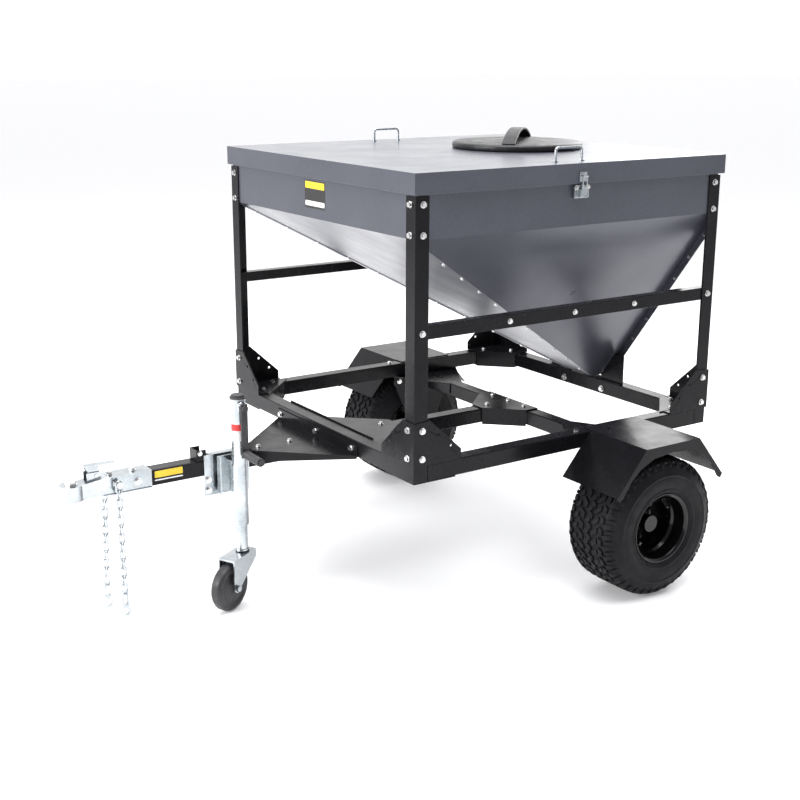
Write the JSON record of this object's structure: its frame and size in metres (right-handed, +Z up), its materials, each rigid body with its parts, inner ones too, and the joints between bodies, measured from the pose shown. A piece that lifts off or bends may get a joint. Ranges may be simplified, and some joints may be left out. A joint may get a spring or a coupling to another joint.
{
  "type": "tow behind cart",
  "caption": "Square-framed tow-behind cart with a lidded sloped hopper, fendered pneumatic wheels, a ball-coupler tongue with safety chains and a swivelling crank jack on a caster.",
  "frame": {"origin": "middle of the overall length and width, on the ground", "axes": "+X forwards to the ball coupler, +Y to the cart's left, +Z up"},
  "size_m": [2.142, 1.64, 1.434],
  "materials": {
    "frame_black": "black satin powder coat",
    "hopper_grey": "charcoal satin powder coat",
    "zinc": "bright zinc plate",
    "bolt_zinc": "zinc plate, clean",
    "rim_black": "black gloss powder coat",
    "tyre_rubber": "moulded black rubber",
    "caster_rubber": "moulded black rubber",
    "cover_plastic": "black moulded plastic",
    "grip_plastic": "dark grey moulded plastic",
    "machined_steel": "machined steel"
  },
  "bodies": {
    "cart": {"front_rail": "frame_black", "rear_rail": "frame_black", "left_rail": "frame_black", "right_rail": "frame_black", "corner_gussets": "frame_black", "front_posts": "frame_black", "rear_posts": "frame_black", "post_feet": "frame_black", "side_struts": "frame_black", "tongue_tube": "frame_black", "tongue_plates": "frame_black", "axle_beam": "frame_black", "axle_beam_gussets": "frame_black", "frame_bolts": "bolt_zinc", "hopper_front_sheet": "hopper_grey", "hopper_rear_sheet": "hopper_grey", "hopper_left_sheet": "hopper_grey", "hopper_right_sheet": "hopper_grey", "hopper_bolts": "bolt_zinc", "hopper_rear_brackets": "frame_black", "gate_guides": "frame_black", "discharge_spout": "frame_black", "latch_bases": "zinc", "fenders": "frame_black", "axle_hangers": "frame_black", "wheel_bearings": "machined_steel", "coupler_body": "zinc", "tongue_bolts": "bolt_zinc", "left_safety_chain": "zinc", "right_safety_chain": "zinc", "tongue_bracket": "frame_black", "jack_mount_plate": "zinc"},
    "lid": {"lid": "hopper_grey", "fill_collar": "zinc", "lid_handles": "zinc", "latch_keepers": "zinc"},
    "fill_cover": {"fill_cover": "cover_plastic", "cover_handle": "cover_plastic"},
    "latch_left": {"latch_lever_left": "zinc"},
    "latch_right": {"latch_lever_right": "zinc"},
    "gate": {"slide_gate": "zinc"},
    "wheel_left": {"left_hub": "rim_black", "left_rim": "rim_black", "left_tyre": "tyre_rubber", "left_lug_nuts": "bolt_zinc"},
    "wheel_right": {"right_hub": "rim_black", "right_rim": "rim_black", "right_tyre": "tyre_rubber", "right_lug_nuts": "bolt_zinc"},
    "coupler_lever": {"coupler_lever": "zinc"},
    "ball_clamp": {"ball_clamp": "zinc"},
    "jack_column": {"jack_outer_tube": "zinc", "jack_swivel_plate": "zinc", "swivel_pull_pin": "zinc", "jack_cap": "grip_plastic"},
    "jack_leg": {"jack_inner_tube": "zinc"},
    "jack_crank": {"jack_crank": "grip_plastic", "crank_grip": "grip_plastic"},
    "caster_fork": {"caster_fork": "zinc"},
    "caster_wheel": {"caster_wheel": "caster_rubber"}
  },
  "joints": [
    {"name": "lid_lift", "type": "slide", "parent": "cart", "child": "lid", "axis": [0, 0, 1], "range_m": [0, 0.3]},
    {"name": "fill_cover_lift", "type": "slide", "parent": "lid", "child": "fill_cover", "axis": [0, 0, 1], "range_m": [0, 0.12]},
    {"name": "latch_left_swing", "type": "hinge", "parent": "cart", "child": "latch_left", "pos_m": [-0.399, 0.58, 1.274], "axis": [-1, 0, 0], "range_deg": [0, 100]},
    {"name": "latch_right_swing", "type": "hinge", "parent": "cart", "child": "latch_right", "pos_m": [-0.399, -0.58, 1.274], "axis": [1, 0, 0], "range_deg": [0, 100]},
    {"name": "gate_slide", "type": "slide", "parent": "cart", "child": "gate", "axis": [0, 0, 1], "range_m": [0, 0.1]},
    {"name": "wheel_left_spin", "type": "hinge", "parent": "cart", "child": "wheel_left", "pos_m": [-0.599, 0.69, 0.2286], "axis": [0, 1, 0], "continuous": true},
    {"name": "wheel_right_spin", "type": "hinge", "parent": "cart", "child": "wheel_right", "pos_m": [-0.599, -0.69, 0.2286], "axis": [0, 1, 0], "continuous": true},
    {"name": "coupler_lever_lift", "type": "hinge", "parent": "cart", "child": "coupler_lever", "pos_m": [0.963, 0, 0.476], "axis": [0, 1, 0], "range_deg": [0, 35]},
    {"name": "ball_clamp_release", "type": "hinge", "parent": "cart", "child": "ball_clamp", "pos_m": [0.961, 0, 0.428], "axis": [0, 1, 0], "range_deg": [0, 9]},
    {"name": "jack_swivel", "type": "hinge", "parent": "cart", "child": "jack_column", "pos_m": [0.534, 0.036, 0.42], "axis": [0, -1, 0], "range_deg": [0, 35]},
    {"name": "jack_extend", "type": "slide", "parent": "jack_column", "child": "jack_leg", "axis": [0, 0, -1], "range_m": [-0.06, 0.17]},
    {"name": "jack_crank_turn", "type": "hinge", "parent": "jack_column", "child": "jack_crank", "pos_m": [0.534, 0.12, 0.645], "axis": [0, 1, 0], "range_deg": [-2200, 6200]},
    {"name": "caster_swivel", "type": "hinge", "parent": "jack_leg", "child": "caster_fork", "pos_m": [0.534, 0.1, 0.179], "axis": [0, 0, 1], "continuous": true},
    {"name": "caster_wheel_spin", "type": "hinge", "parent": "caster_fork", "child": "caster_wheel", "pos_m": [0.59692, 0.13069, 0.076], "axis": [-0.4384, 0.8988, 0], "continuous": true}
  ],
  "couplings": [
    {"joint": "ball_clamp_release", "follows": "coupler_lever_lift", "ratio": 0.25},
    {"joint": "jack_crank_turn", "follows": "jack_extend", "rad_per_m": 628.32}
  ]
}
